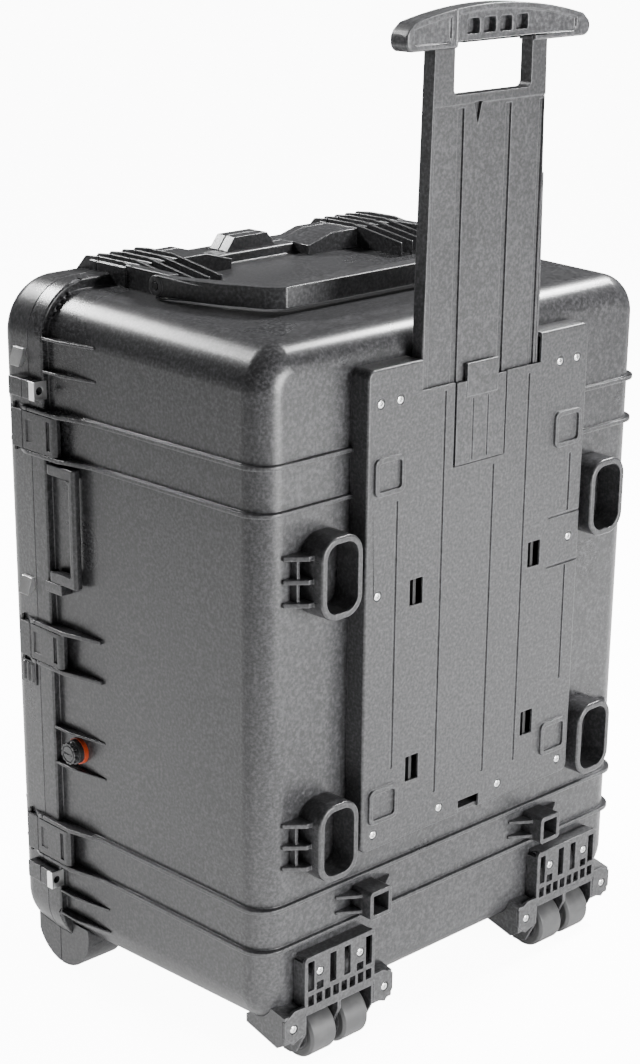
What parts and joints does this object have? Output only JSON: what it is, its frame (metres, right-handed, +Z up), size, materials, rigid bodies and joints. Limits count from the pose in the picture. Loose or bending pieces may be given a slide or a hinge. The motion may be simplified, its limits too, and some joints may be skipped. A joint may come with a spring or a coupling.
{
  "type": "wheeled hard equipment case",
  "caption": "Hard moulded equipment case on wheels, with hinged lid, latches, fold-down carry handles and pull-out trolley handle, standing upright",
  "frame": {"origin": "centre of the footprint, on the floor that the wheels and front feet stand on", "axes": "+X across the trolley side from the latch side to the hinge side, +Y from the trolley side to the lid, +Z up along the pulled-out handle"},
  "size_m": [0.621, 0.436, 1.074],
  "materials": {
    "moulded_shell": "fine-grained moulded charcoal black",
    "latch_plastic": "satin black",
    "handle_plastic": "satin black",
    "trolley_plastic": "fine-grained charcoal",
    "grip_plastic": "satin charcoal",
    "seal_rubber": "matt black",
    "inner_plastic": "matt black",
    "blackened_steel": "black oxide",
    "stainless_steel": "bright brushed",
    "bright_screws": "bright zinc",
    "wheel_tread": "smooth dark grey polyurethane",
    "wheel_hub": "satin dark grey",
    "valve_plastic": "satin black",
    "valve_orange": "orange red"
  },
  "bodies": {
    "case": {"base_shell": "moulded_shell", "base_latch_webs": "moulded_shell", "base_hinge_webs": "moulded_shell", "foot_tube_upper_left": "moulded_shell", "foot_tube_upper_right": "moulded_shell", "foot_tube_lower_left": "moulded_shell", "foot_tube_lower_right": "moulded_shell", "tube_socket_left": "moulded_shell", "tube_socket_right": "moulded_shell", "front_feet": "moulded_shell", "padlock_lugs": "moulded_shell", "handle_brackets": "moulded_shell", "side_handle_mount": "moulded_shell", "hinge_base_upper": "latch_plastic", "hinge_base_middle": "latch_plastic", "hinge_base_lower": "latch_plastic", "trolley_housing": "trolley_plastic", "wheel_bracket_left": "trolley_plastic", "wheel_bracket_right": "trolley_plastic", "trolley_guides": "inner_plastic", "padlock_plates": "stainless_steel", "hinge_pins": "stainless_steel", "release_pin": "blackened_steel", "side_handle_pins": "blackened_steel", "top_handle_pins": "blackened_steel", "wheel_axle_left": "blackened_steel", "wheel_axle_right": "blackened_steel", "trolley_screws": "bright_screws", "bracket_screws": "bright_screws", "valve_body": "valve_plastic", "valve_ring": "valve_orange"},
    "lid": {"lid_shell": "moulded_shell", "lid_ribs": "moulded_shell", "lid_seal": "seal_rubber", "latch_pins": "blackened_steel", "hinge_lid_upper": "latch_plastic", "hinge_lid_middle": "latch_plastic", "hinge_lid_lower": "latch_plastic", "lid_feet": "moulded_shell", "padlock_lid_lugs": "moulded_shell", "steel_guards": "stainless_steel", "lid_brackets": "moulded_shell"},
    "latch_upper": {"latch_upper": "latch_plastic"},
    "latch_middle": {"latch_middle": "latch_plastic"},
    "latch_lower": {"latch_lower": "latch_plastic"},
    "trolley_handle": {"trolley_handle": "trolley_plastic", "trolley_grip": "grip_plastic"},
    "trolley_release": {"trolley_release": "trolley_plastic"},
    "top_handle": {"top_handle": "handle_plastic"},
    "side_handle": {"side_handle": "handle_plastic"},
    "valve_knob": {"valve_knob": "valve_plastic"},
    "wheel_left_outer": {"wheel_tyre_left_outer": "wheel_tread", "wheel_hub_left_outer": "wheel_hub"},
    "wheel_left_inner": {"wheel_tyre_left_inner": "wheel_tread", "wheel_hub_left_inner": "wheel_hub"},
    "wheel_right_inner": {"wheel_tyre_right_inner": "wheel_tread", "wheel_hub_right_inner": "wheel_hub"},
    "wheel_right_outer": {"wheel_tyre_right_outer": "wheel_tread", "wheel_hub_right_outer": "wheel_hub"}
  },
  "joints": [
    {"name": "lid_hinge", "type": "hinge", "parent": "case", "child": "lid", "pos_m": [0.304, 0.152, 0.4], "axis": [0, 0, -1], "range_deg": [0, 100]},
    {"name": "latch_upper_throw", "type": "hinge", "parent": "lid", "child": "latch_upper", "pos_m": [-0.2993, 0.179, 0.63735], "axis": [0, 0, -1], "range_deg": [0, 100]},
    {"name": "latch_middle_throw", "type": "hinge", "parent": "lid", "child": "latch_middle", "pos_m": [-0.2993, 0.179, 0.3999], "axis": [0, 0, -1], "range_deg": [0, 100]},
    {"name": "latch_lower_throw", "type": "hinge", "parent": "lid", "child": "latch_lower", "pos_m": [-0.2993, 0.179, 0.166], "axis": [0, 0, -1], "range_deg": [0, 100]},
    {"name": "trolley_slide", "type": "slide", "parent": "case", "child": "trolley_handle", "axis": [0, 0, 1], "range_m": [-0.288, 0]},
    {"name": "release_press", "type": "hinge", "parent": "case", "child": "trolley_release", "pos_m": [-0.002, -0.2103, 0.626], "axis": [1, 0, 0], "range_deg": [0, 8], "stiffness_Nm_per_rad": 0.4, "springref_deg": -5.73},
    {"name": "top_handle_fold", "type": "hinge", "parent": "case", "child": "top_handle", "pos_m": [0, 0.043, 0.7945], "axis": [-1, 0, 0], "range_deg": [0, 90]},
    {"name": "side_handle_fold", "type": "hinge", "parent": "case", "child": "side_handle", "pos_m": [-0.2974, 0.12, 0.54], "axis": [0, 0, -1], "range_deg": [0, 90]},
    {"name": "wheel_left_outer_roll", "type": "hinge", "parent": "case", "child": "wheel_left_outer", "pos_m": [-0.2066, -0.1775, 0.0285], "axis": [1, 0, 0], "continuous": true},
    {"name": "wheel_left_inner_roll", "type": "hinge", "parent": "case", "child": "wheel_left_inner", "pos_m": [-0.1594, -0.1775, 0.0285], "axis": [1, 0, 0], "continuous": true},
    {"name": "wheel_right_inner_roll", "type": "hinge", "parent": "case", "child": "wheel_right_inner", "pos_m": [0.1594, -0.1775, 0.0285], "axis": [1, 0, 0], "continuous": true},
    {"name": "wheel_right_outer_roll", "type": "hinge", "parent": "case", "child": "wheel_right_outer", "pos_m": [0.2066, -0.1775, 0.0285], "axis": [1, 0, 0], "continuous": true},
    {"name": "valve_turn", "type": "hinge", "parent": "case", "child": "valve_knob", "pos_m": [-0.3, 0.097, 0.286], "axis": [1, 0, 0], "range_deg": [0, 90]}
  ]
}
